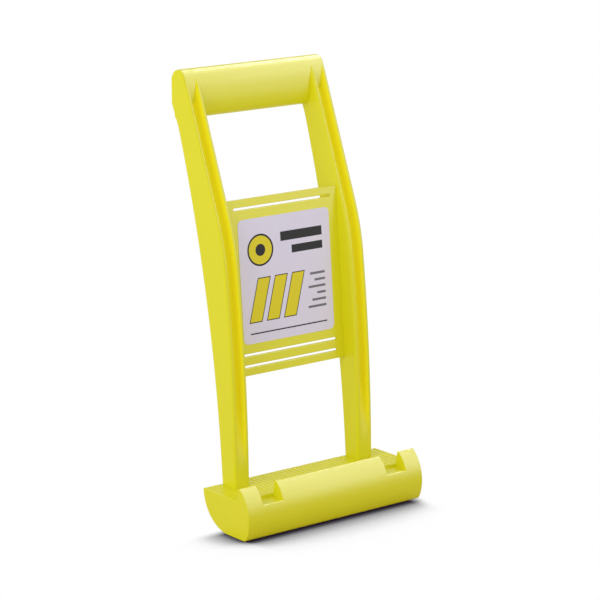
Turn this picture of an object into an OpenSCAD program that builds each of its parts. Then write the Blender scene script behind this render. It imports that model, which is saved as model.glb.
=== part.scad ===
// Panel carrier: a grip bar and a slotted plate held by two curved rails, on a half-round base.
// The panel stands on the ribbed tray, between the front lip and the rails.
// Lengths are in millimetres. +X is right, +Y is back and +Z is up.

/* [Base] */
// Length of the base from end to end
base_length = 165; // [150:1:220]
// Depth of the base from front to back
base_depth = 56; // [52:0.5:66]
// Height of the rib tops that the panel stands on
tray_height = 28.5; // [25:0.5:33]
// Radius of the round front
front_radius = 29.3; // [28:0.1:34]
// Height of the most forward line of the front
front_bulge_height = 15.5; // [13:0.5:18]
// Radius of the round back
back_radius = 34.5; // [32:0.5:42]
// Rounding between the foot and the front
foot_round = 12; // [6:0.5:14]
// Width of the flat that the carrier stands on
foot_flat = 7; // [4:0.5:10]
// Wall of the hollow base
base_wall = 3; // [2:0.25:4]
// Width of the opening along the underside
underside_opening = 12; // [6:0.5:16]

/* [Lip] */
// Height of the lip above the rib tops
lip_height = 10; // [6:0.5:11]
// Width of the flat on top of the lip
lip_land = 1.2; // [0.8:0.1:3]
// Free gap for the panel, from the lip to the rails
panel_gap = 25; // [16:0.5:27]
// Width of each notch in the lip
notch_width = 18; // [12:0.5:24]
// Drop from the rib tops to the floor of a notch
notch_drop = 2.6; // [1.6:0.1:4]

/* [Tray ribs] */
// Distance from rib to rib
rib_pitch = 4; // [3:0.25:8]
// Width of a rib
rib_width = 2.6; // [1:0.1:2.8]
// Height of a rib
rib_height = 0.4; // [0.3:0.1:1.2]
// Width of the rim along the tray's back edge, where the ribs end
rib_rim = 2; // [1:0.1:4]

/* [Underside ribs] */
// Number of cross ribs under the tray
core_rib_count = 5; // [3:1:9]
// Thickness of a cross rib
core_rib_width = 2.5; // [1.5:0.1:4]
// Height of the cross ribs above the floor
core_rib_recess = 1; // [0.5:0.1:3]

/* [Rails] */
// Width across the outer faces of both rails
rail_span = 131; // [120:1:138]
// Width of one rail
rail_width = 14; // [11:0.5:18]
// Depth of a rail where it stands on the tray
leg_depth = 16.5; // [13:0.5:20]
// Backward lean of a rail's back edge at the tray, in degrees
foot_lean = 3.3; // [1:0.1:5]
// Radius of the slow bow along the lower front edge
front_bow_radius = 1350; // [900:10:2000]
// Height where the front edge starts to bend back
bend_start_height = 187; // [165:1:205]
// Radius of that bend
bend_radius = 168; // [100:1:240]
// Backward lean of the upper front edge, in degrees
upper_lean = 21; // [16:0.5:25]
// Width of the grooves along the front and back edges
groove_width = 7.4; // [4:0.1:8]
// Depth of those grooves
groove_depth = 6; // [2:0.25:7]
// Height where the front groove has run out
groove_bottom = 43; // [40:1:90]
// Height over which the front groove runs out
groove_run_out = 52; // [10:1:60]
// Distance from the tray and from the grip to the ends of the back groove
back_groove_margin = 26; // [12:1:60]

/* [Grip] */
// Height of the top of the grip above the floor
overall_height = 332; // [300:1:380]
// Depth of the grip's section
grip_depth = 17.4; // [14:0.1:24]
// Height of the grip's section
grip_height = 36.4; // [28:0.1:44]
// Backward lean of the rails' back edge where it runs into the back of the grip, in degrees
seat_lean = 25; // [18:0.5:35]
// Height of that point above the middle of the grip's lower round
seat_rise = 2; // [0:0.1:8]

/* [Centre plate] */
// Height of the plate's lower edge
plate_bottom = 107; // [90:1:125]
// Height of the plate's upper edge
plate_top = 238; // [215:1:250]
// Thickness of the plate
plate_thickness = 3; // [2:0.25:5]
// Distance from the rails' front edge to the plate, at its lower edge
plate_bottom_setback = 13.4; // [4:0.1:16]
// Distance from the rails' front edge to the plate, at its upper edge
plate_top_setback = 2.4; // [0.5:0.1:12]
// Length of the slots
slot_length = 90; // [60:1:95]
// Height of a slot
slot_height = 2; // [1:0.1:3]
// Distance from the plate's edges to the outer slots
slot_margin = 6.8; // [4:0.1:12]
// Distance between the two lower slots
slot_pitch = 8.5; // [5:0.1:12]

/* [Label] */
// Width of the label
label_width = 85; // [60:1:95]
// Height of the label
label_height = 93; // [60:1:98]
// Radius of the label's corners
label_corner = 4; // [1:0.5:10]
// Thickness of the label
label_thickness = 0.3; // [0.1:0.05:0.5]
// Distance from the upper slot to the label
label_drop = 8.2; // [4:0.1:16]

/* [Hidden] */

$fn = 96;
// Facets of the rails' long bows
bow_facets = 1440;
// How far a cut runs past the face that it opens
overrun = 1;
// Clearance between a rail's foot and the tray ribs beside it
rib_clearance = 0.2;
// How far down a rail's back edge meets the grip, as a share of half the grip's depth
grip_seat_share = 0.66;

moulding_yellow = [0.86, 0.86, 0.22];
label_white = [0.86, 0.84, 0.91];

// Base, in the plane of depth and height
half_length = base_length / 2;
inner_half_length = half_length - base_wall;
back_y = base_depth / 2;
front_y = -back_y;
front_centre = [front_y + front_radius, front_bulge_height];
back_centre = [back_y - sqrt(pow(back_radius, 2) - pow(back_radius - tray_height, 2)), back_radius];
foot_round_centre = [
    front_centre.x - sqrt(pow(front_radius - foot_round, 2) - pow(front_centre.y - foot_round, 2)),
    foot_round
];
foot_corner_reach = 2 * foot_round;
deck_top = tray_height - rib_height;
deck_bottom = deck_top - base_wall;
ledge_top = tray_height - notch_drop;
lip_top = tray_height + lip_height;

// Rails
leg_front = back_y - leg_depth;
lip_inner_y = leg_front - panel_gap;
foot_inner_y = max(lip_inner_y, foot_round_centre.x + foot_flat);
lip_ridge_y = front_centre.x - sqrt(pow(front_radius, 2) - pow(lip_top - front_centre.y, 2));
lip_top_inner_y = min(lip_inner_y, lip_ridge_y + lip_land);
rail_x = (rail_span - rail_width) / 2;
inner_half_span = rail_x - rail_width / 2;
bow_centre = [leg_front + front_bow_radius, deck_top];
bow_angle = asin((bend_start_height - deck_top) / front_bow_radius);
bend_start = bow_centre + front_bow_radius * [-cos(bow_angle), sin(bow_angle)];
bend_centre = bend_start + bend_radius * [cos(bow_angle), -sin(bow_angle)];
bend_end = bend_centre + bend_radius * [-cos(upper_lean), sin(upper_lean)];
groove_top = groove_bottom + groove_run_out;
groove_run_slope = groove_run_out / (front_at(groove_top) - front_at(groove_bottom) + groove_depth);

// Grip
grip_round = grip_depth / 2;
grip_top_z = overall_height - grip_round;
grip_low_z = overall_height - grip_height + grip_round;
grip_front_y = bend_end.x + (grip_top_z - bend_end.y) * tan(upper_lean);
grip_y = grip_front_y + grip_round;
grip_back_y = grip_front_y + grip_depth;
seat = [grip_back_y, grip_low_z + seat_rise];

// Back edge of the rails: one arc from the tray to the grip
rail_foot = [back_y, deck_top];
rail_head = [grip_y + grip_seat_share * grip_round, grip_low_z];
rail_chord = rail_head - rail_foot;
chord_lean = atan2(rail_chord.x, rail_chord.y);
back_bow_radius = norm(rail_chord) / (2 * sin(chord_lean - foot_lean));
back_bow_centre = rail_foot + back_bow_radius * [cos(foot_lean), -sin(foot_lean)];

// Centre plate
plate_foot = [front_at(plate_bottom) + plate_bottom_setback, plate_bottom];
plate_head = [front_at(plate_top) + plate_top_setback, plate_top];
plate_lean = atan2(plate_head.x - plate_foot.x, plate_head.y - plate_foot.y);
plate_length = norm(plate_head - plate_foot);
top_slot = plate_length - slot_margin;
slot_places = [slot_margin, slot_margin + slot_pitch, top_slot];
label_middle = top_slot - label_drop - label_height / 2;

// The frame's origin lies on the floor, below the middle of the whole carrier
frame_y = (front_y + grip_back_y) / 2;

// Depth of the rails' front edge at a height
function front_at(z) =
    z < bend_start.y ? bow_centre.x - sqrt(pow(front_bow_radius, 2) - pow(z - bow_centre.y, 2)) :
    z < bend_end.y ? bend_centre.x - sqrt(pow(bend_radius, 2) - pow(z - bend_centre.y, 2)) :
    bend_end.x + (z - bend_end.y) * tan(upper_lean);

module placed() {
    translate([0, -frame_y, 0]) children();
}

// A profile drawn in depth and height, drawn out along the length of the carrier
module along_x(from, to) {
    translate([from, 0, 0]) rotate([90, 0, 90]) linear_extrude(to - from) children();
}

module band(y_from, y_to, z_from, z_to) {
    translate([y_from, z_from]) square([y_to - y_from, z_to - z_from]);
}

// Base profiles
module front_disc(inset) {
    translate(front_centre) circle(front_radius - inset);
}

module back_disc(inset) {
    translate(back_centre) circle(back_radius - inset);
}

// What the rounding takes off the corner between the foot and the front, on the skin or inside it
module foot_corner(inset) {
    outward = (foot_round_centre - front_centre) / norm(foot_round_centre - front_centre);
    difference() {
        polygon([
            foot_round_centre,
            foot_round_centre + foot_corner_reach * [0, -1],
            foot_round_centre + foot_corner_reach * (outward + [0, -1]),
            foot_round_centre + foot_corner_reach * outward
        ]);
        translate(foot_round_centre) circle(foot_round - inset);
    }
}

// The filled half-round outline below the rib tops
module base_outline() {
    difference() {
        band(front_y - overrun, back_y + overrun, 0, tray_height);
        difference() {
            band(front_y - 2 * overrun, back_centre.x, -overrun, tray_height + overrun);
            front_disc(0);
        }
        difference() {
            band(back_centre.x, back_y + 2 * overrun, -overrun, tray_height + overrun);
            back_disc(0);
        }
        foot_corner(0);
    }
}

// The space inside the round front
module front_hollow() {
    difference() {
        intersection() {
            front_disc(base_wall);
            band(front_y, foot_inner_y + overrun, base_wall, ledge_top - base_wall);
        }
        foot_corner(base_wall);
    }
}

// Channel with the round front, a ledge under the lip and a flange for the foot
module front_wall_profile() {
    difference() {
        intersection() {
            front_disc(0);
            band(front_y - overrun, foot_inner_y, 0, ledge_top);
        }
        foot_corner(0);
        front_hollow();
        band(lip_inner_y, foot_inner_y + overrun, base_wall, ledge_top + overrun);
    }
}

module back_wall_profile() {
    difference() {
        intersection() {
            back_disc(0);
            band(foot_inner_y + underside_opening, back_y + overrun, 0, deck_bottom);
        }
        back_disc(base_wall);
    }
}

module tray_deck_profile() {
    intersection() {
        back_disc(0);
        band(lip_inner_y, back_y + overrun, deck_bottom, deck_top);
    }
}

module end_wall_profile() {
    difference() {
        base_outline();
        band(front_y - overrun, lip_inner_y, ledge_top, tray_height + overrun);
    }
}

module lip_profile() {
    intersection() {
        front_disc(0);
        polygon([
            [front_y - overrun, ledge_top],
            [lip_inner_y, ledge_top],
            [lip_inner_y, tray_height],
            [lip_top_inner_y, lip_top],
            [front_y - overrun, lip_top]
        ]);
    }
}

// The space between the walls, above the floor and below the tray
module core_rib_profile() {
    difference() {
        intersection() {
            base_outline();
            band(front_y, back_y, core_rib_recess, deck_bottom);
        }
        front_wall_profile();
        back_wall_profile();
    }
}

// Base pieces
module front_wall() {
    color(moulding_yellow) placed() along_x(-inner_half_length, inner_half_length) front_wall_profile();
}

module back_wall() {
    color(moulding_yellow) placed() along_x(-inner_half_length, inner_half_length) back_wall_profile();
}

module tray_deck() {
    color(moulding_yellow) placed() along_x(-inner_half_length, inner_half_length) tray_deck_profile();
}

module left_end_wall() {
    color(moulding_yellow) placed() along_x(-half_length, -inner_half_length) end_wall_profile();
}

module right_end_wall() {
    color(moulding_yellow) placed() along_x(inner_half_length, half_length) end_wall_profile();
}

module left_lip() {
    color(moulding_yellow) placed() along_x(-half_length, -rail_x - notch_width / 2) lip_profile();
}

module middle_lip() {
    reach = rail_x - notch_width / 2;
    color(moulding_yellow) placed() along_x(-reach, reach) lip_profile();
}

module right_lip() {
    color(moulding_yellow) placed() along_x(rail_x + notch_width / 2, half_length) lip_profile();
}

// Rim along the tray's back edge
module rim_profile() {
    intersection() {
        back_disc(0);
        band(back_y - rib_rim, back_y + overrun, deck_top, tray_height);
    }
}

// Fine ribs from front to back that end at the rim, cut short in front of the rails' feet
module tray_ribs() {
    side_count = floor((inner_half_length - rib_width / 2) / rib_pitch);
    foot_reach = (rail_width + rib_width) / 2 + rib_clearance;
    inside = inner_half_span - rib_clearance;
    outside = rail_span / 2 + rib_clearance;
    color(moulding_yellow) placed() {
        for (i = [-side_count:side_count]) {
            x = i * rib_pitch;
            before_foot = abs(abs(x) - rail_x) < foot_reach;
            rib_end = before_foot ? leg_front - rib_clearance : back_y - rib_rim;
            translate([x - rib_width / 2, lip_inner_y, deck_top])
                cube([rib_width, rib_end - lip_inner_y, rib_height]);
        }
        along_x(-inner_half_length, -outside) rim_profile();
        along_x(-inside, inside) rim_profile();
        along_x(outside, inner_half_length) rim_profile();
    }
}

module core_ribs() {
    spacing = 2 * rail_x / (core_rib_count - 1);
    color(moulding_yellow) placed() for (i = [0:core_rib_count - 1]) {
        x = i * spacing - rail_x;
        along_x(x - core_rib_width / 2, x + core_rib_width / 2) core_rib_profile();
    }
}

// Rail profiles
// All that lies before the front edge, moved back by an inset
module before_front(inset) {
    nose = front_y - overrun;
    start = bend_start + inset * [cos(bow_angle), -sin(bow_angle)];
    end = bend_end + inset * [cos(upper_lean), -sin(upper_lean)];
    difference() {
        band(nose, grip_back_y, 0, start.y);
        translate(bow_centre) circle(front_bow_radius - inset, $fn = bow_facets);
    }
    difference() {
        band(nose, grip_back_y, start.y, end.y);
        translate(bend_centre) circle(bend_radius - inset, $fn = bow_facets);
    }
    polygon([
        end,
        [end.x + (overall_height - end.y) * tan(upper_lean), overall_height],
        [nose, overall_height],
        [nose, end.y]
    ]);
    // Wedges over the two seams between these parts
    for (seam = [start, end]) {
        reach = seam.x - nose;
        polygon([seam, [nose, seam.y + reach], [nose, seam.y - reach]]);
    }
}

// All that lies behind the back edge, moved forward by an inset
module behind_back(inset) {
    translate(back_bow_centre) circle(back_bow_radius + inset, $fn = bow_facets);
}

// All that lies behind the line on which the rails' back edge runs into the grip
module behind_seat() {
    far = grip_back_y + overrun;
    polygon([
        seat,
        [seat.x - seat.y * tan(seat_lean), 0],
        [far, 0],
        [far, seat.y]
    ]);
}

module grip_profile() {
    difference() {
        union() {
            translate([grip_y, grip_low_z]) circle(grip_round);
            translate([grip_y, grip_top_z]) circle(grip_round);
            band(grip_front_y, grip_back_y, grip_low_z, grip_top_z);
        }
        behind_seat();
    }
}

module rail_profile() {
    difference() {
        polygon([
            [front_y, deck_top],
            [grip_back_y, deck_top],
            [grip_back_y, grip_low_z],
            [grip_y, grip_low_z],
            [grip_y, grip_top_z],
            [front_y, grip_top_z]
        ]);
        before_front(0);
        intersection() {
            behind_back(0);
            behind_seat();
        }
        grip_profile();
    }
}

// In front of the groove's floor, above the slope on which the groove runs out
module front_groove_profile() {
    nose = leg_front - overrun;
    slope_end = front_at(groove_top) + groove_depth + overrun;
    slope_bottom = groove_bottom + groove_run_slope * (nose - front_at(groove_bottom));
    slope_top = groove_bottom + groove_run_slope * (slope_end - front_at(groove_bottom));
    intersection() {
        before_front(groove_depth);
        polygon([
            [nose, slope_bottom],
            [slope_end, slope_top],
            [grip_back_y, slope_top],
            [grip_back_y, overall_height],
            [nose, overall_height]
        ]);
    }
}

module back_groove_profile() {
    intersection() {
        behind_back(groove_depth);
        band(front_y, grip_back_y, deck_top + back_groove_margin, grip_low_z - grip_round - back_groove_margin);
    }
}

module rail(side) {
    middle = side * rail_x;
    color(moulding_yellow) placed() difference() {
        along_x(middle - rail_width / 2, middle + rail_width / 2) rail_profile();
        along_x(middle - groove_width / 2, middle + groove_width / 2) front_groove_profile();
        along_x(middle - groove_width / 2, middle + groove_width / 2) back_groove_profile();
    }
}

module left_rail() {
    rail(-1);
}

module right_rail() {
    rail(1);
}

module grip_bar() {
    color(moulding_yellow) placed() along_x(-rail_span / 2, rail_span / 2) grip_profile();
}

// Centre plate and label, laid out on the leaning front face of the plate
module on_plate() {
    translate([0, plate_foot.x, plate_foot.y]) rotate([-plate_lean, 0, 0]) children();
}

module centre_plate() {
    color(moulding_yellow) placed() on_plate() difference() {
        translate([-inner_half_span, 0, 0]) cube([2 * inner_half_span, plate_thickness, plate_length]);
        for (place = slot_places)
            translate([-slot_length / 2, -overrun, place - slot_height / 2])
                cube([slot_length, plate_thickness + 2 * overrun, slot_height]);
    }
}

module label_outline() {
    across = label_width / 2 - label_corner;
    up = label_height / 2 - label_corner;
    for (x = [-across, across], y = [-up, up])
        translate([x, y]) circle(label_corner);
    square([2 * across, label_height], center = true);
    square([label_width, 2 * up], center = true);
}

module label() {
    color(label_white) placed() on_plate() translate([0, 0, label_middle])
        rotate([90, 0, 0]) linear_extrude(label_thickness) label_outline();
}

grip_bar();
left_rail();
right_rail();
centre_plate();
label();
tray_deck();
tray_ribs();
left_lip();
middle_lip();
right_lip();
front_wall();
back_wall();
left_end_wall();
right_end_wall();
core_ribs();
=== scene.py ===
import math

import bmesh
import bpy
from mathutils import Matrix, Vector


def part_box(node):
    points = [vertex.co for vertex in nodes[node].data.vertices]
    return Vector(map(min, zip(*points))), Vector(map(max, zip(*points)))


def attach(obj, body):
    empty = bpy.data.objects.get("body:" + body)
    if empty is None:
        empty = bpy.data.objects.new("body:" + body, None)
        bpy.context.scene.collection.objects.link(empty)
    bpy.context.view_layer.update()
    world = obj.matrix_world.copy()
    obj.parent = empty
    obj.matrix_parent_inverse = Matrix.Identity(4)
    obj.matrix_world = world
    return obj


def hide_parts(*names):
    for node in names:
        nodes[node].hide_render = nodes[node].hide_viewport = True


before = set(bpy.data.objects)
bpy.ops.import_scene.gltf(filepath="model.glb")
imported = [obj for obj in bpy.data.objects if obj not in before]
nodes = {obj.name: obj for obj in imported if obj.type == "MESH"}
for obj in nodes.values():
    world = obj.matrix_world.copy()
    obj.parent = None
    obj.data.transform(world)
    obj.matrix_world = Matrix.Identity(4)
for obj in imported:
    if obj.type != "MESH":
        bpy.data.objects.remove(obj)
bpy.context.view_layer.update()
print("frame loaded with", len(nodes), "nodes")

mm = 0.001
mergeReach = 0.000005
touch = 0.02               # in mm, points this near count as one
smoothAngle = math.radians(32)
flatAngle = math.radians(0.3)
halfBaseDepth = 28.0
# drawings below measure depth from the middle of the base
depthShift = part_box("left_end_wall")[0].y + halfBaseDepth * mm


def at(x, y, z):
    return Vector((x * mm, y * mm + depthShift, z * mm))


def drawn(point):
    return Vector((point.x / mm, (point.y - depthShift) / mm, point.z / mm))


def clearSelection():
    if bpy.context.object and bpy.context.object.mode != "OBJECT":
        bpy.ops.object.mode_set(mode="OBJECT")
    bpy.ops.object.select_all(action="DESELECT")


def pick(piece):
    clearSelection()
    piece.select_set(True)
    bpy.context.view_layer.objects.active = piece


def named(name):
    piece = bpy.context.active_object
    piece.name = name
    piece.data.name = name
    return piece


class Sock:
    def __init__(self, tree, socket):
        self.tree = tree
        self.socket = socket

    def maths(self, operation, first, second=None):
        step = self.tree.nodes.new("ShaderNodeMath")
        step.operation = operation
        for slot, value in zip(step.inputs, (first, second)):
            if value is not None:
                feed(self.tree, slot, value)
        return Sock(self.tree, step.outputs[0])

    def __add__(self, other):
        return self.maths("ADD", self, other)

    def __radd__(self, other):
        return self.maths("ADD", other, self)

    def __sub__(self, other):
        return self.maths("SUBTRACT", self, other)

    def __rsub__(self, other):
        return self.maths("SUBTRACT", other, self)

    def __mul__(self, other):
        return self.maths("MULTIPLY", self, other)

    def __rmul__(self, other):
        return self.maths("MULTIPLY", other, self)

    def __truediv__(self, other):
        return self.maths("DIVIDE", self, other)

    def __pow__(self, other):
        return self.maths("POWER", self, other)

    def __gt__(self, other):
        return self.maths("GREATER_THAN", self, other)

    def __lt__(self, other):
        return self.maths("LESS_THAN", self, other)

    def __abs__(self):
        return self.maths("ABSOLUTE", self)

    def atMost(self, other):
        return self.maths("MINIMUM", self, other)

    def atLeast(self, other):
        return self.maths("MAXIMUM", self, other)

    def rise(self, start, end):
        step = self.tree.nodes.new("ShaderNodeMapRange")
        step.interpolation_type = "SMOOTHSTEP"
        feed(self.tree, step.inputs[0], self)
        step.inputs[1].default_value = start
        step.inputs[2].default_value = end
        return Sock(self.tree, step.outputs[0])


def feed(tree, slot, value):
    if isinstance(value, Sock):
        tree.links.new(value.socket, slot)
    else:
        slot.default_value = value


class Finish:
    def __init__(self, name):
        self.material = bpy.data.materials.new(name)
        self.material.use_nodes = True
        self.tree = self.material.node_tree
        self.tree.nodes.clear()

    def node(self, kind, settings=None, output=0, sockets=None):
        made = self.tree.nodes.new(kind)
        for key, value in (settings or {}).items():
            setattr(made, key, value)
        for key, value in (sockets or {}).items():
            feed(self.tree, made.inputs[key], value)
        return Sock(self.tree, made.outputs[output])

    def mix(self, factor, first, second):
        sockets = {0: factor, 6: first, 7: second}
        return self.node("ShaderNodeMix", {"data_type": "RGBA"}, 2, sockets)

    def place(self):
        return self.node("ShaderNodeTexCoord", output="Object")

    def axes(self, place):
        split = self.node("ShaderNodeSeparateXYZ", sockets={0: place})
        return [Sock(self.tree, out) / mm for out in split.socket.node.outputs]

    def noise(self, place, scale, detail=2.0):
        return self.node("ShaderNodeTexNoise", sockets={
            "Vector": place, "Scale": scale, "Detail": detail,
        })

    def close(self, shader):
        end = self.tree.nodes.new("ShaderNodeOutputMaterial")
        self.tree.links.new(shader.socket, end.inputs["Surface"])
        return self.material


def srgb(red, green, blue):
    def linear(value):
        value /= 255
        return value / 12.92 if value <= 0.04045 else ((value + 0.055) / 1.055) ** 2.4
    return (linear(red), linear(green), linear(blue), 1)


plasticLook = {
    "colour": srgb(234, 229, 20),
    "paleFlow": srgb(236, 232, 34),
    # painted glow for the grooves: light through the thin walls, painted as colour
    "paintedGrooveGlow": srgb(255, 245, 28),
    "roughness": 0.40,
    "roughnessSwing": 0.10,
    "shine": 0.30,
    "ior": 1.5,
    "grooveRoughness": 0.45,
    "flowScale": 26,       # per metre
    "flowDetail": 3.0,
    "grainScale": 2600,
    "grainDepth": 0.00004,
    "grainStrength": 0.35,
}
# where the painted groove glow and the rougher groove plastic lie on the rails
grooveLook = {
    "middle": 58.5,
    "half": 4.2,
    "soft": 0.6,
    "fadeIn": (44, 70),    # heights
}


def yellowPlasticFinish(name, look, grooved):
    finish = Finish(name)
    place = finish.place()
    flow = finish.noise(place, look["flowScale"], look["flowDetail"])
    grain = finish.noise(place, look["grainScale"])
    colour = finish.mix(flow, look["colour"], look["paleFlow"])
    rough = look["roughness"] + look["roughnessSwing"] * (flow - 0.5)
    if grooved:
        # down in a groove a painted glow, a brighter and deeper amber, stands in for light that
        # shines through the thin walls and bounces inside; the plastic there also has no sheen
        across, up = finish.axes(place)[::2]
        low, high = grooved["half"] - grooved["soft"], grooved["half"] + grooved["soft"]
        inside = 1 - abs(abs(across) - grooved["middle"]).rise(low, high)
        inside = inside * up.rise(*grooved["fadeIn"])
        colour = finish.mix(inside, colour, look["paintedGrooveGlow"])
        rough = rough + inside * look["grooveRoughness"]
    bump = finish.node("ShaderNodeBump", sockets={
        "Strength": look["grainStrength"], "Distance": look["grainDepth"], "Height": grain,
    })
    shader = finish.node("ShaderNodeBsdfPrincipled", sockets={
        "Base Color": colour, "Roughness": rough, "Normal": bump,
        "IOR": look["ior"], "Specular IOR Level": look["shine"],
    })
    return finish.close(shader)


labelLook = {
    "film": srgb(238, 233, 250),
    "filmShade": srgb(232, 227, 246),
    "ink": srgb(26, 25, 28),
    "yellow": srgb(236, 220, 30),
    "grey": srgb(120, 118, 126),
    "roughness": 0.45,
    "shine": 0.12,
    "filmScale": 60,
    "discMiddle": (-23, 199),
    "discRings": ((12, "ink"), (10.6, "yellow"), (4.5, "ink")),
    "bars": ((-4, 35, 203, 210), (6, 35, 193, 199)),    # left, right, low, high
    "boardLefts": (-36, -20, -4),
    "boardLow": 146,
    "boardHigh": 178,
    "boardWidth": 11,
    "boardLean": 0.3,
    "boardLine": 0.5,
    "boardInset": 0.2,
    "rules": ((174, 22), (169, 26), (164, 20), (159, 28), (154, 23), (149, 19)),    # low, left
    "ruleRight": 36,
    "ruleHeight": 1.8,
    "footRule": (-36, 36, 137, 138),
}


def labelFinish(look):
    finish = Finish("labelPrint")
    place = finish.place()
    across, up = finish.axes(place)[::2]

    def block(left, right, low, high):
        return (across > left) * (across < right) * (up > low) * (up < high)

    def disc(x, z, radius):
        return (across - x) ** 2 + (up - z) ** 2 < radius ** 2

    def leaningBoard(left, edge):
        lean = across - look["boardLean"] * (up - look["boardLow"])
        inside = (lean > left - edge) * (lean < left + look["boardWidth"] + edge)
        return inside * (up > look["boardLow"] - edge) * (up < look["boardHigh"] + edge)

    # a ringed disc, dark bars, three leaning boards and a few grey rules
    prints = [(disc(*look["discMiddle"], radius), look[ink]) for radius, ink in look["discRings"]]
    prints += [(block(*bar), look["ink"]) for bar in look["bars"]]
    for left in look["boardLefts"]:
        prints.append((leaningBoard(left, look["boardLine"]), look["ink"]))
        prints.append((leaningBoard(left, -look["boardInset"]), look["yellow"]))
    for low, left in look["rules"]:
        rule = block(left, look["ruleRight"], low, low + look["ruleHeight"])
        prints.append((rule, look["grey"]))
    prints.append((block(*look["footRule"]), look["ink"]))
    colour = finish.mix(finish.noise(place, look["filmScale"]), look["filmShade"], look["film"])
    for mask, ink in prints:
        colour = finish.mix(mask, colour, ink)
    shader = finish.node("ShaderNodeBsdfPrincipled", sockets={
        "Base Color": colour, "Roughness": look["roughness"], "Specular IOR Level": look["shine"],
    })
    return finish.close(shader)


yellowPlastic = yellowPlasticFinish("yellowPlastic", plasticLook, None)
railPlastic = yellowPlasticFinish("railPlastic", plasticLook, grooveLook)
labelPrint = labelFinish(labelLook)
print("materials made")


def finishPiece(piece, material, slot, *replaced):
    pick(piece)
    bpy.ops.object.shade_smooth_by_angle(angle=smoothAngle)
    weigh = piece.modifiers.new("evenNormals", "WEIGHTED_NORMAL")
    weigh.keep_sharp = True
    bpy.ops.object.modifier_apply(modifier=weigh.name)
    piece.data.materials.clear()
    piece.data.materials.append(material)
    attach(piece, "root")
    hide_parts(*replaced)


def extrudeOutline(name, outline, xFrom, xTo):
    clearSelection()
    bpy.ops.mesh.primitive_circle_add(vertices=len(outline), radius=0.01, fill_type="NGON")
    piece = named(name)
    for vertex, (y, z) in zip(piece.data.vertices, outline):
        vertex.co = at(xFrom, y, z)
    bpy.ops.object.mode_set(mode="EDIT")
    bpy.ops.mesh.select_all(action="SELECT")
    bpy.ops.mesh.extrude_region_move(TRANSFORM_OT_translate={"value": ((xTo - xFrom) * mm, 0, 0)})
    bpy.ops.mesh.select_all(action="SELECT")
    bpy.ops.mesh.normals_make_consistent(inside=False)
    bpy.ops.object.mode_set(mode="OBJECT")
    return piece


def skinRings(name, rings):
    around, count = len(rings[0]), len(rings) - 1
    clearSelection()
    bpy.ops.mesh.primitive_grid_add(x_subdivisions=around, y_subdivisions=count, size=1)
    piece = named(name)
    for vertex in piece.data.vertices:
        column = round((vertex.co.x + 0.5) * around) % around
        row = round((vertex.co.y + 0.5) * count)
        vertex.co = at(*rings[row][column])
    bpy.ops.object.mode_set(mode="EDIT")
    bpy.ops.mesh.select_all(action="SELECT")
    bpy.ops.mesh.remove_doubles(threshold=mergeReach)
    bpy.ops.mesh.select_all(action="DESELECT")
    bpy.ops.mesh.select_mode(type="EDGE")
    bpy.ops.mesh.select_non_manifold()
    bpy.ops.mesh.edge_face_add()
    bpy.ops.mesh.select_all(action="SELECT")
    bpy.ops.mesh.normals_make_consistent(inside=False)
    bpy.ops.object.mode_set(mode="OBJECT")
    return piece


def roundEdges(piece, width, segments, wanted, sharp=30):
    pick(piece)
    bpy.ops.object.mode_set(mode="EDIT")
    bpy.ops.mesh.select_mode(type="EDGE")
    bpy.ops.mesh.select_all(action="DESELECT")
    mesh = bmesh.from_edit_mesh(piece.data)
    for edge in mesh.edges:
        if len(edge.link_faces) == 2 and edge.calc_face_angle() > math.radians(sharp):
            if wanted(drawn(edge.verts[0].co), drawn(edge.verts[1].co)):
                edge.select_set(True)
    bmesh.update_edit_mesh(piece.data)
    bpy.ops.mesh.bevel(
        offset=width * mm, segments=segments, profile=0.5, affect="EDGES", clamp_overlap=True,
    )
    bpy.ops.object.mode_set(mode="OBJECT")


def trueRound(piece, *rounds):
    # on a round face the corner normals point straight out from its axis,
    # so neighbours shade as one skin
    mesh = piece.data
    normals = [Vector(corner.vector) for corner in mesh.corner_normals]
    for face in mesh.polygons:
        if abs(face.normal.x) > touch:
            continue
        for centre, radius in rounds:
            axis = at(0, *centre)
            spokes = [mesh.vertices[v].co - axis for v in face.vertices]
            spokes = [Vector((0, spoke.y, spoke.z)) for spoke in spokes]
            if all(abs(spoke.length - radius * mm) < touch * mm for spoke in spokes):
                for loop, spoke in zip(face.loop_indices, spokes):
                    normals[loop] = spoke.normalized() * (1 if spoke.dot(face.normal) > 0 else -1)
    mesh.normals_split_custom_set(normals)


def near(value, target):
    return abs(value - target) < touch


def both(test, first, second):
    return test(first) and test(second)


view = {
    "azimuth": -37.85,
    "elevation": 13.28,
    "roll": -0.35,
    "place": (-1130.17, -1438.08, 595.52),
    "lens": 153.2,
    "sensor": 36,
    "clipEnd": 50,
}
clearSelection()
bpy.ops.object.camera_add()
camera = bpy.context.active_object
camera.name = "photoCamera"
camera.data.lens = view["lens"]
camera.data.sensor_width = view["sensor"]
camera.data.clip_end = view["clipEnd"]
turn = Matrix.Rotation(math.radians(view["azimuth"]), 4, "Z")
tilt = Matrix.Rotation(math.radians(90 - view["elevation"]), 4, "X")
roll = Matrix.Rotation(math.radians(view["roll"]), 4, "Z")
camera.matrix_world = Matrix.Translation(at(*view["place"])) @ turn @ tilt @ roll
bpy.context.scene.camera = camera
print("camera set")

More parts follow.
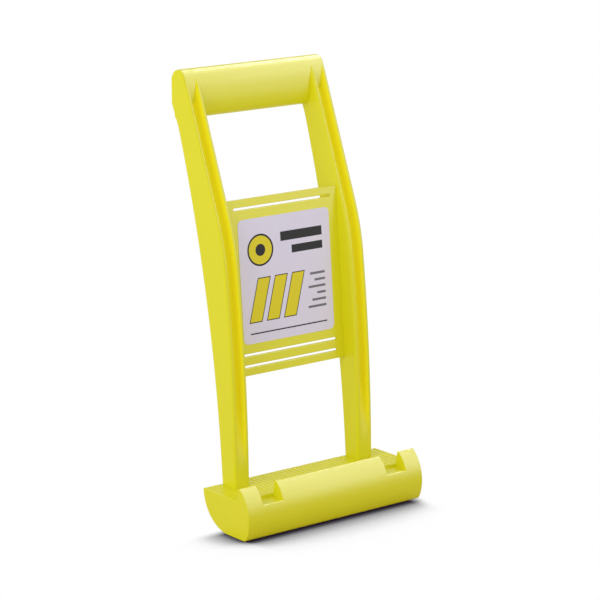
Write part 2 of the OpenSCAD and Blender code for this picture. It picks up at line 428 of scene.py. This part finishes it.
base = {
    "halfLength": 82.5,
    "wall": 3.0,
    "frontRadius": 29.3,
    "frontCentre": (1.3, 15.5),
    "backRadius": 30.0,
    "trayHeight": 28.5,
    "footRound": 5.0,
    "footFlat": 12.0,
    "ledgeTop": 25.9,
    "lipTop": 38.5,
    "lipLand": 1.2,
    "lipInner": -13.5,
    "undersideOpening": 12.0,
    "railMiddle": 58.5,
    "notchWidth": 18.0,
    "edgeRound": 0.9,
    "edgeSteps": 4,
    "notchRound": 1.6,
    "notchSteps": 5,
    "openingRound": 0.5,
    "openingSteps": 3,
    "arcStep": 1.5,        # degrees
}
frontY, frontZ = base["frontCentre"]
backDrop = base["backRadius"] - base["trayHeight"]
backY = halfBaseDepth - math.sqrt(base["backRadius"] ** 2 - backDrop ** 2)
backZ = base["backRadius"]
innerHalf = base["halfLength"] - base["wall"]
notchIn = base["railMiddle"] - base["notchWidth"] / 2
notchOut = base["railMiddle"] + base["notchWidth"] / 2
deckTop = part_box("tray_deck")[1].z / mm
deckBottom = deckTop - base["wall"]
ledgeBottom = base["ledgeTop"] - base["wall"]
innerBack = base["backRadius"] - base["wall"]


def arc(centre, radius, start, end):
    steps = max(2, round(abs(end - start) / base["arcStep"]))
    turned = [math.radians(start + (end - start) * i / steps) for i in range(steps + 1)]
    return [(centre[0] + radius * math.cos(a), centre[1] + radius * math.sin(a)) for a in turned]


def frontAngle(z, radius):
    return 180 - math.degrees(math.asin((z - frontZ) / radius))


def backAngle(z, radius):
    return math.degrees(math.asin((z - backZ) / radius))


footReach = base["frontRadius"] - base["footRound"]
footCentre = (
    frontY - math.sqrt(footReach ** 2 - (frontZ - base["footRound"]) ** 2),
    base["footRound"],
)
footTurn = math.degrees(math.atan2(footCentre[1] - frontZ, footCentre[0] - frontY)) % 360
footInner = footCentre[0] + base["footFlat"]
baseRounds = [
    (base["frontCentre"], base["frontRadius"]),
    (footCentre, base["footRound"]),
    ((backY, backZ), base["backRadius"]),
]


def frontOutline(inset, top):
    # foot rounding and round front, from the floor up
    rounding = arc(footCentre, base["footRound"] - inset, 270, footTurn)
    radius = base["frontRadius"] - inset
    return rounding[:-1] + arc(base["frontCentre"], radius, footTurn, frontAngle(top, radius))


frontWall = extrudeOutline("frontWall", frontOutline(0, base["ledgeTop"]) + [
    (base["lipInner"], base["ledgeTop"]),
    (base["lipInner"], ledgeBottom),
] + frontOutline(base["wall"], ledgeBottom)[::-1] + [
    (footInner, base["wall"]),
    (footInner, 0),
], -innerHalf, innerHalf)
# the notches' front rims are round, and the rest of that edge carries the lip
pick(frontWall)
for cut in (-notchOut, -notchIn, notchIn, notchOut):
    bpy.ops.object.mode_set(mode="EDIT")
    bpy.ops.mesh.select_all(action="SELECT")
    bpy.ops.mesh.bisect(plane_co=(cut * mm, 0, 0), plane_no=(1, 0, 0))
    bpy.ops.object.mode_set(mode="OBJECT")
rimY = frontOutline(0, base["ledgeTop"])[-1][0]


def notchRim(point):
    within = notchIn - touch < abs(point.x) < notchOut + touch
    return within and near(point.y, rimY) and near(point.z, base["ledgeTop"])


roundEdges(
    frontWall, base["notchRound"], base["notchSteps"],
    lambda a, b: both(notchRim, a, b) and a.x * b.x > 0,
)
finishPiece(frontWall, yellowPlastic, "yellow_plastic", "front_wall")
trueRound(frontWall, *baseRounds)

lipFront = arc(
    base["frontCentre"], base["frontRadius"],
    frontAngle(base["ledgeTop"], base["frontRadius"]),
    frontAngle(base["lipTop"], base["frontRadius"]),
)
lipOutline = lipFront + [
    (lipFront[-1][0] + base["lipLand"], base["lipTop"]),
    (base["lipInner"], base["trayHeight"]),
    (base["lipInner"], base["ledgeTop"]),
]


def lipBlock(name, node, xFrom, xTo):
    piece = extrudeOutline(name, lipOutline, xFrom, xTo)

    def hidden(point):
        atTray = near(point.y, base["lipInner"]) and point.z < base["trayHeight"] + touch
        return atTray or near(point.z, base["ledgeTop"])

    roundEdges(piece, base["edgeRound"], base["edgeSteps"], lambda a, b: not both(hidden, a, b))
    finishPiece(piece, yellowPlastic, "yellow_plastic", node)
    trueRound(piece, *baseRounds)


lipBlock("leftLip", "left_lip", -base["halfLength"], -notchOut)
lipBlock("middleLip", "middle_lip", -notchIn, notchIn)
lipBlock("rightLip", "right_lip", notchOut, base["halfLength"])

endOutline = frontOutline(0, base["ledgeTop"]) + [
    (base["lipInner"], base["ledgeTop"]),
    (base["lipInner"], base["trayHeight"]),
] + arc((backY, backZ), base["backRadius"], backAngle(base["trayHeight"], base["backRadius"]), -90)


def endWall(name, node, side):
    outer = side * base["halfLength"]
    piece = extrudeOutline(name, endOutline, side * innerHalf, outer)

    def lipSeat(point):
        return point.y < base["lipInner"] + touch and point.z > base["ledgeTop"] - touch

    def outerRim(a, b):
        return near(a.x, outer) and near(b.x, outer) and not both(lipSeat, a, b)

    roundEdges(piece, base["edgeRound"], base["edgeSteps"], outerRim)
    finishPiece(piece, yellowPlastic, "yellow_plastic", node)
    trueRound(piece, *baseRounds)


endWall("leftEnd", "left_end_wall", -1)
endWall("rightEnd", "right_end_wall", 1)

deckOutline = [(base["lipInner"], deckBottom)] + arc(
    (backY, backZ), base["backRadius"],
    backAngle(deckBottom, base["backRadius"]), backAngle(deckTop, base["backRadius"]),
) + [(base["lipInner"], deckTop)]
trayDeck = extrudeOutline("trayDeck", deckOutline, -innerHalf, innerHalf)
finishPiece(trayDeck, yellowPlastic, "yellow_plastic", "tray_deck")
trueRound(trayDeck, *baseRounds)

wallStart = footInner + base["undersideOpening"]


def arcAtDepth(radius):
    return -90 + math.degrees(math.asin((wallStart - backY) / radius))


def openingRim(a, b):
    return near(a.y, wallStart) and near(b.y, wallStart) and near(a.z, b.z)


innerArc = arc((backY, backZ), innerBack, backAngle(deckBottom, innerBack), arcAtDepth(innerBack))
outerArc = arc(
    (backY, backZ), base["backRadius"],
    arcAtDepth(base["backRadius"]), backAngle(deckBottom, base["backRadius"]),
)
backWall = extrudeOutline("backWall", outerArc + innerArc, -innerHalf, innerHalf)
roundEdges(backWall, base["openingRound"], base["openingSteps"], openingRim)
finishPiece(backWall, yellowPlastic, "yellow_plastic", "back_wall")
trueRound(backWall, *baseRounds)

coreRib = {
    "count": 5,
    "width": 2.5,
    "recess": 1.0,
}
ribOutline = [
    (footInner, coreRib["recess"]),
    (footInner, base["wall"]),
] + frontOutline(base["wall"], ledgeBottom) + [
    (base["lipInner"], ledgeBottom),
    (base["lipInner"], deckBottom),
] + innerArc + [(wallStart, coreRib["recess"])]
ribPitch = 2 * base["railMiddle"] / (coreRib["count"] - 1)
ribs = []
for i in range(coreRib["count"]):
    ribLeft = i * ribPitch - base["railMiddle"] - coreRib["width"] / 2
    ribs.append(extrudeOutline("coreRibs", ribOutline, ribLeft, ribLeft + coreRib["width"]))
pick(ribs[0])
for rib in ribs:
    rib.select_set(True)
bpy.ops.object.join()
finishPiece(ribs[0], yellowPlastic, "yellow_plastic", "core_ribs")
print("base modelled")

grip = {
    "halfLength": 65.5,
    "depth": 17.4,
    "height": 36.4,
    "top": 332.0,
    "seatLean": 25.0,
    "seatRise": 2.0,
    "seatLength": 10,
    "seatStep": 2,
    "seatMargin": 0.05,
    "crownSteps": 48,
    "crown": 2.5,          # 2 is an ellipse
    "endRound": 2.0,
    "endSteps": 6,
    "frontRoundFrom": 317.0,   # the ends' rounding grows between these heights
    "frontRoundTo": 327.0,
    "backRoundFrom": 295.8,
    "backRoundTo": 298.8,
}
gripLow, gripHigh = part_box("grip_bar")
gripRadius = grip["depth"] / 2
gripY = drawn((gripLow + gripHigh) / 2).y
gripLowZ = grip["top"] - grip["height"] + gripRadius
gripTopZ = grip["top"] - gripRadius
gripMiddle = grip["top"] - grip["height"] / 2
seatY, seatZ = gripY + gripRadius, gripLowZ + grip["seatRise"]
seatLean = math.radians(grip["seatLean"])


def smooth(value):
    value = min(1, max(0, value))
    return value * value * (3 - 2 * value)


def gripFront(z):
    # depth of the crowned front at a height
    share = min(1, abs(z - gripMiddle) / (grip["height"] / 2))
    return gripY - gripRadius * (1 - share ** grip["crown"]) ** (1 / grip["crown"])


def gripOutline():
    rises = [-math.cos(math.pi * i / grip["crownSteps"]) for i in range(grip["crownSteps"] + 1)]
    levels = [gripMiddle + rise * grip["height"] / 2 for rise in rises]
    outline = [(gripFront(z), z) for z in levels]
    outline += arc((gripY, gripTopZ), gripRadius, 90, 0)[1:]
    # the leaning seat cuts the lower back
    sine, cosine = math.sin(seatLean), math.cos(seatLean)
    drops = range(0, grip["seatLength"] + 1, grip["seatStep"])
    seat = [(seatY - drop * sine, seatZ - drop * cosine) for drop in drops]

    def aheadOfSeat(y, z):
        return (y - seatY) * cosine < (z - seatZ) * sine - grip["seatMargin"]

    under = arc((gripY, gripLowZ), gripRadius, 0, -90)[:-1]
    return outline + seat + [point for point in under if aheadOfSeat(*point)]


def gripRings():
    outline = [Vector(point) for point in gripOutline()]
    turned = [math.pi / 2 * i / grip["endSteps"] for i in range(grip["endSteps"] + 1)]
    rings = []
    for side, angles in ((-1, turned[::-1]), (1, turned)):
        for angle in angles:
            ring = []
            for i, point in enumerate(outline):
                along = outline[(i + 1) % len(outline)] - outline[i - 1]
                inward = Vector((along.y, -along.x)).normalized()
                face = "front" if point.x < gripY else "back"
                low, high = grip[face + "RoundFrom"], grip[face + "RoundTo"]
                radius = grip["endRound"] * smooth((point.y - low) / (high - low))
                inset = point + inward * radius * (1 - math.cos(angle))
                end = grip["halfLength"] - radius * (1 - math.sin(angle))
                ring.append((side * end, inset.x, inset.y))
            rings.append(ring)
    return rings


gripBar = skinRings("gripBar", gripRings())
finishPiece(gripBar, yellowPlastic, "yellow_plastic", "grip_bar")
print("grip modelled")

rail = {
    "middle": 58.5,
    "width": 14.0,
    "legFront": 11.5,
    "footLean": 3.3,
    "bowRadius": 1350.0,
    "bendStart": 187.0,
    "bendRadius": 168.0,
    "upperLean": 21.0,
    "headShare": 0.66,
    "grooveWidth": 7.4,
    "grooveDepth": 6.0,
    "grooveBottom": 43.0,
    "grooveRunOut": 52.0,
    "runOutPower": 1.5,
    "runOutLift": 0.6,
    "backGrooveLow": 54.1,
    "backGrooveHigh": 269.6,
    "backGrooveRunOut": 8.0,
    "outerRound": 2.0,
    "rimRound": 1.2,
    "floorRound": 1.4,
    "draft": 0.8,
    "roundSteps": 6,
    "stationStep": 3.0,
    "solveSteps": 8,
    "headDrop": 4.0,
    "tipStep": 0.8,
    "tipLead": 6.0,
    "tipOver": 1.0,
    "tipFrom": 318.0,      # above it the front fades into the grip's crown
    "tipEnd": 329.0,
    "tipSink": 0.5,
    "tipFade": 1.5,
    "copeOver": 20.0,
}
bowAngle = math.asin((rail["bendStart"] - deckTop) / rail["bowRadius"])
bowY = rail["legFront"] + rail["bowRadius"]
bendY = bowY - rail["bowRadius"] * math.cos(bowAngle) + rail["bendRadius"] * math.cos(bowAngle)
bendZ = rail["bendStart"] - rail["bendRadius"] * math.sin(bowAngle)
upperLean = math.radians(rail["upperLean"])
leanY = bendY - rail["bendRadius"] * math.cos(upperLean)
leanZ = bendZ + rail["bendRadius"] * math.sin(upperLean)


def frontEdge(z):
    # depth and lean of the front edge at a height
    if z < rail["bendStart"]:
        turned = math.asin((z - deckTop) / rail["bowRadius"])
        return bowY - rail["bowRadius"] * math.cos(turned), turned
    if z < leanZ:
        turned = math.asin((z - bendZ) / rail["bendRadius"])
        return bendY - rail["bendRadius"] * math.cos(turned), turned
    depth = leanY + (z - leanZ) * math.tan(upperLean)
    if z > rail["tipFrom"]:
        share = min(1, (z - rail["tipFrom"]) / (rail["tipEnd"] - rail["tipFrom"]))
        proud = gripFront(rail["tipFrom"]) - leanY - (rail["tipFrom"] - leanZ) * math.tan(upperLean)
        depth = gripFront(z) - proud * (1 - share) ** rail["tipFade"] + rail["tipSink"] * share
    return depth, upperLean


footLean = math.radians(rail["footLean"])
chordY = gripY + rail["headShare"] * gripRadius - halfBaseDepth
chordZ = gripLowZ - deckTop
backBow = math.hypot(chordY, chordZ) / (2 * math.sin(math.atan2(chordY, chordZ) - footLean))
backBowY = halfBaseDepth + backBow * math.cos(footLean)
backBowZ = deckTop - backBow * math.sin(footLean)


def backEdge(z):
    # one slow bow, then the straight run into the back of the grip
    z = min(z, gripLowZ - rail["headDrop"])
    bow = backBowY - math.sqrt(backBow ** 2 - (z - backBowZ) ** 2)
    return max(bow, seatY - (seatZ - z) * math.tan(seatLean)), z


def runOut(value):
    # the groove fades out slowly at its foot and soon reaches its full depth
    value = min(1, max(0, value))
    lift = rail["runOutLift"]
    return value ** rail["runOutPower"] * (1 + lift - lift * value ** 2)


def grooveProfile():
    # (across, into the rail, part of the groove) from the outer face to the middle
    half = rail["width"] / 2
    outer, rim, low = rail["outerRound"], rail["rimRound"], rail["floorRound"]
    edge, depth = rail["grooveWidth"] / 2, rail["grooveDepth"]
    wall = edge - rail["draft"]
    turned = [math.pi / 2 * i / rail["roundSteps"] for i in range(rail["roundSteps"] + 1)]
    turns = [(math.cos(a), math.sin(a)) for a in turned]
    points = [(half - outer + outer * c, outer - outer * s, False) for c, s in turns]
    points += [(edge + rim - rim * s, rim - rim * c, True) for c, s in turns]
    points += [(wall - low + low * c, depth - low + low * s, True) for c, s in turns]
    return points + [(0, depth, True)]


halfProfile = grooveProfile()
fullProfile = halfProfile + [(-u, v, g) for u, v, g in reversed(halfProfile[:-1])]


def railRing(z):
    frontDepth, turned = frontEdge(z)
    front = Vector((frontDepth, z))
    level = z
    for step in range(rail["solveSteps"]):
        backDepth, level = backEdge(level)
        level = z - math.tan(turned) * (backDepth - frontDepth)
    back = Vector(backEdge(level))
    into = (back - front).normalized()
    frontCut = runOut((z - rail["grooveBottom"]) / rail["grooveRunOut"])
    backCut = smooth((level - rail["backGrooveLow"]) / rail["backGrooveRunOut"])
    backCut *= smooth((rail["backGrooveHigh"] - level) / rail["backGrooveRunOut"])
    ring = [(u, front + into * (v * frontCut if groove else v)) for u, v, groove in fullProfile]
    ring += [
        (u, back - into * (v * backCut if groove else v)) for u, v, groove in reversed(fullProfile)
    ]
    return ring


def stations(start, end, step):
    count = round((end - start) / step)
    return [start + (end - start) * i / count for i in range(count)]


def makeRail(name, node, side):
    fineFrom, top = rail["tipFrom"] - rail["tipLead"], rail["tipEnd"] + rail["tipOver"]
    levels = stations(deckTop, fineFrom, rail["stationStep"])
    levels += stations(fineFrom, top, rail["tipStep"]) + [top]
    middle = side * rail["middle"]
    rings = [[(middle + u, point.x, point.y) for u, point in railRing(z)] for z in levels]
    piece = skinRings(name, rings)
    # coped round the grip
    cutHalf = grip["halfLength"] + rail["copeOver"]
    cutter = extrudeOutline("gripCutter", gripOutline(), -cutHalf, cutHalf)
    pick(piece)
    cope = piece.modifiers.new("cope", "BOOLEAN")
    cope.operation = "DIFFERENCE"
    cope.solver = "EXACT"
    cope.object = cutter
    bpy.ops.object.modifier_apply(modifier=cope.name)
    bpy.data.objects.remove(cutter)
    finishPiece(piece, railPlastic, "yellow_plastic", node)
    print(name, len(piece.data.polygons), "faces")


makeRail("leftRail", "left_rail", -1)
makeRail("rightRail", "right_rail", 1)
print("rails modelled")


def copyNode(name, node):
    pick(nodes[node])
    bpy.ops.object.duplicate()
    piece = named(name)
    for key in list(piece.keys()):
        del piece[key]
    piece.parent = None
    bpy.ops.object.mode_set(mode="EDIT")
    bpy.ops.mesh.select_all(action="SELECT")
    bpy.ops.mesh.remove_doubles(threshold=mergeReach)
    bpy.ops.mesh.dissolve_limited(angle_limit=flatAngle)
    bpy.ops.object.mode_set(mode="OBJECT")
    return piece


plate = {
    "edgeRound": 0.5,
    "edgeSteps": 3,
    "railSide": 51.4,      # its ends meet the rails there and stay sharp
}


def atRail(point):
    return abs(point.x) > plate["railSide"]


centrePlate = copyNode("centrePlate", "centre_plate")
roundEdges(
    centrePlate, plate["edgeRound"], plate["edgeSteps"], lambda a, b: not both(atRail, a, b),
)
finishPiece(centrePlate, yellowPlastic, "yellow_plastic", "centre_plate")

trayRib = {
    "edgeRound": 0.3,
    "edgeSteps": 2,
}


def ribTop(point):
    return near(point.z, base["trayHeight"])


trayRibs = copyNode("trayRibs", "tray_ribs")
roundEdges(
    trayRibs, trayRib["edgeRound"], trayRib["edgeSteps"], lambda a, b: both(ribTop, a, b),
)
finishPiece(trayRibs, yellowPlastic, "yellow_plastic", "tray_ribs")

nodes["label"].data.materials.clear()
nodes["label"].data.materials.append(labelPrint)
print("plate, ribs and label done")

studio = {
    "floorSize": 60.0,
    # painted shade: for bounced light the paper near the object is darker and warmer, a painted
    # shadow and painted yellow bounce
    "nearBouncePaintedShade": (0.73, 0.64, 0.47, 1),
    "farBounce": (0.96, 0.92, 0.86, 1),
    "bounceReach": (0.10, 0.55),
    "paperScale": 3.0,
    "paperSwing": 0.1,
    "white": (1.0, 1.0, 1.0, 1),
    # dark core of the painted shadow, also the dark of the paper's random flecks
    "shadowAndFleckDark": (0.012, 0.006, 0.016, 1),
    "shadowSamples": 16,
    "shadowReach": 0.08,
    "shadowEnd": 0.885,
    "shadowPower": 3.4,
    "contactReach": 0.007,
    "contactPower": 1.6,
    "shadowBack": (-1, 12),     # the shadow fades behind the left end and past the right one
    "shadowLeft": (-75, -15),
    "shadowBehind": 0.5,        # share of it that stays behind the rest of the base
    "shadowRight": (72, 88),
    "sky": (0.97, 0.96, 1.0, 1),
    "skyStrength": 0.74,
    "aimHeight": 0.15,
}
lamps = {
    "leftLight": {"azimuth": -80, "elevation": 22, "distance": 1.8, "size": 1.1, "power": 6.7},
    "sheenTop": {
        "azimuth": 105, "elevation": 52, "distance": 0.95, "size": 0.50, "power": 13.0,
        "sheenOnly": True,
    },
    "sheenHigh": {
        "azimuth": 63, "elevation": 48, "distance": 0.95, "size": 0.45, "power": 7.0,
        "sheenOnly": True,
    },
    "sheenMiddle": {
        "azimuth": 48, "elevation": 28, "distance": 0.95, "size": 0.45, "power": 6.2,
        "sheenOnly": True,
    },
    "sheenLow": {
        "azimuth": 40, "elevation": 11, "distance": 0.95, "size": 0.40, "power": 4.2,
        "sheenOnly": True,
    },
}
clearSelection()
bpy.ops.mesh.primitive_plane_add(size=studio["floorSize"])
floor = named("floor")


def floorFinish(look):
    finish = Finish("floorPaper")
    place = finish.place()
    rays = finish.node("ShaderNodeLightPath").socket.node.outputs
    shown = Sock(finish.tree, rays["Is Camera Ray"])
    shown = shown.atLeast(Sock(finish.tree, rays["Is Glossy Ray"]))
    shown = shown.atLeast(Sock(finish.tree, rays["Is Transmission Ray"]))
    away = finish.node("ShaderNodeVectorMath", {"operation": "LENGTH"}, "Value", {0: place})
    # bounced light meets a painted shadow and painted yellow bounce near the object
    paper = finish.mix(away.rise(*look["bounceReach"]), look["nearBouncePaintedShade"], look["farBounce"])
    flecks = finish.noise(place, look["paperScale"]) * look["paperSwing"]
    paper = finish.mix(flecks, paper, look["shadowAndFleckDark"])
    matt = finish.node("ShaderNodeBsdfDiffuse", sockets={"Color": paper})

    def openness(reach):
        settings = {"samples": look["shadowSamples"]}
        return finish.node("ShaderNodeAmbientOcclusion", settings, "AO", {"Distance": reach})

    # open paper is plain white, and the object's shadow is painted on it: a darker glow where
    # ambient occlusion finds the object shutting out the sky
    light = (openness(look["shadowReach"]) / look["shadowEnd"]) ** look["shadowPower"]
    light = light.atMost(1.0) * openness(look["contactReach"]) ** look["contactPower"]
    across, back = finish.axes(place)[:2]
    behind = (back - depthShift / mm).rise(*look["shadowBack"])
    kept = 1 - behind * (1 - look["shadowBehind"] * across.rise(*look["shadowLeft"]))
    kept = kept * (1 - across.rise(*look["shadowRight"]))
    tone = finish.mix((1 - light) * kept, look["white"], look["shadowAndFleckDark"])
    glow = finish.node("ShaderNodeEmission", sockets={"Color": tone, "Strength": 1.0})
    surface = finish.node("ShaderNodeMixShader", sockets={0: shown, 1: matt, 2: glow})
    return finish.close(surface)


floor.data.materials.append(floorFinish(studio))

world = bpy.data.worlds.new("studioSky")
bpy.context.scene.world = world
world.use_nodes = True
worldTree = world.node_tree
sky = worldTree.nodes["Background"]
sky.inputs["Color"].default_value = studio["sky"]
# reflections meet the same white as the paper
rays = worldTree.nodes.new("ShaderNodeLightPath").outputs
shown = Sock(worldTree, rays["Is Camera Ray"]).atLeast(Sock(worldTree, rays["Is Glossy Ray"]))
strength = studio["skyStrength"] + (1 - studio["skyStrength"]) * shown
feed(worldTree, sky.inputs["Strength"], strength)

aim = Vector((0, 0, studio["aimHeight"]))
for name, lamp in lamps.items():
    azimuth, elevation = math.radians(lamp["azimuth"]), math.radians(lamp["elevation"])
    level = math.cos(elevation)
    away = Vector((level * math.sin(azimuth), -level * math.cos(azimuth), math.sin(elevation)))
    place = aim + lamp["distance"] * away
    clearSelection()
    bpy.ops.object.light_add(type="AREA", location=place)
    light = bpy.context.active_object
    light.name = name
    light.data.size = lamp["size"]
    light.data.energy = lamp["power"]
    # the pale sheen on the upper faces comes from lamps that light no colour
    light.visible_diffuse = not lamp.get("sheenOnly")
    light.data.cycles.use_multiple_importance_sampling = light.visible_diffuse
    light.rotation_euler = (aim - place).to_track_quat("-Z", "Y").to_euler()

bpy.context.scene.view_settings.view_transform = "Standard"
print("studio set")
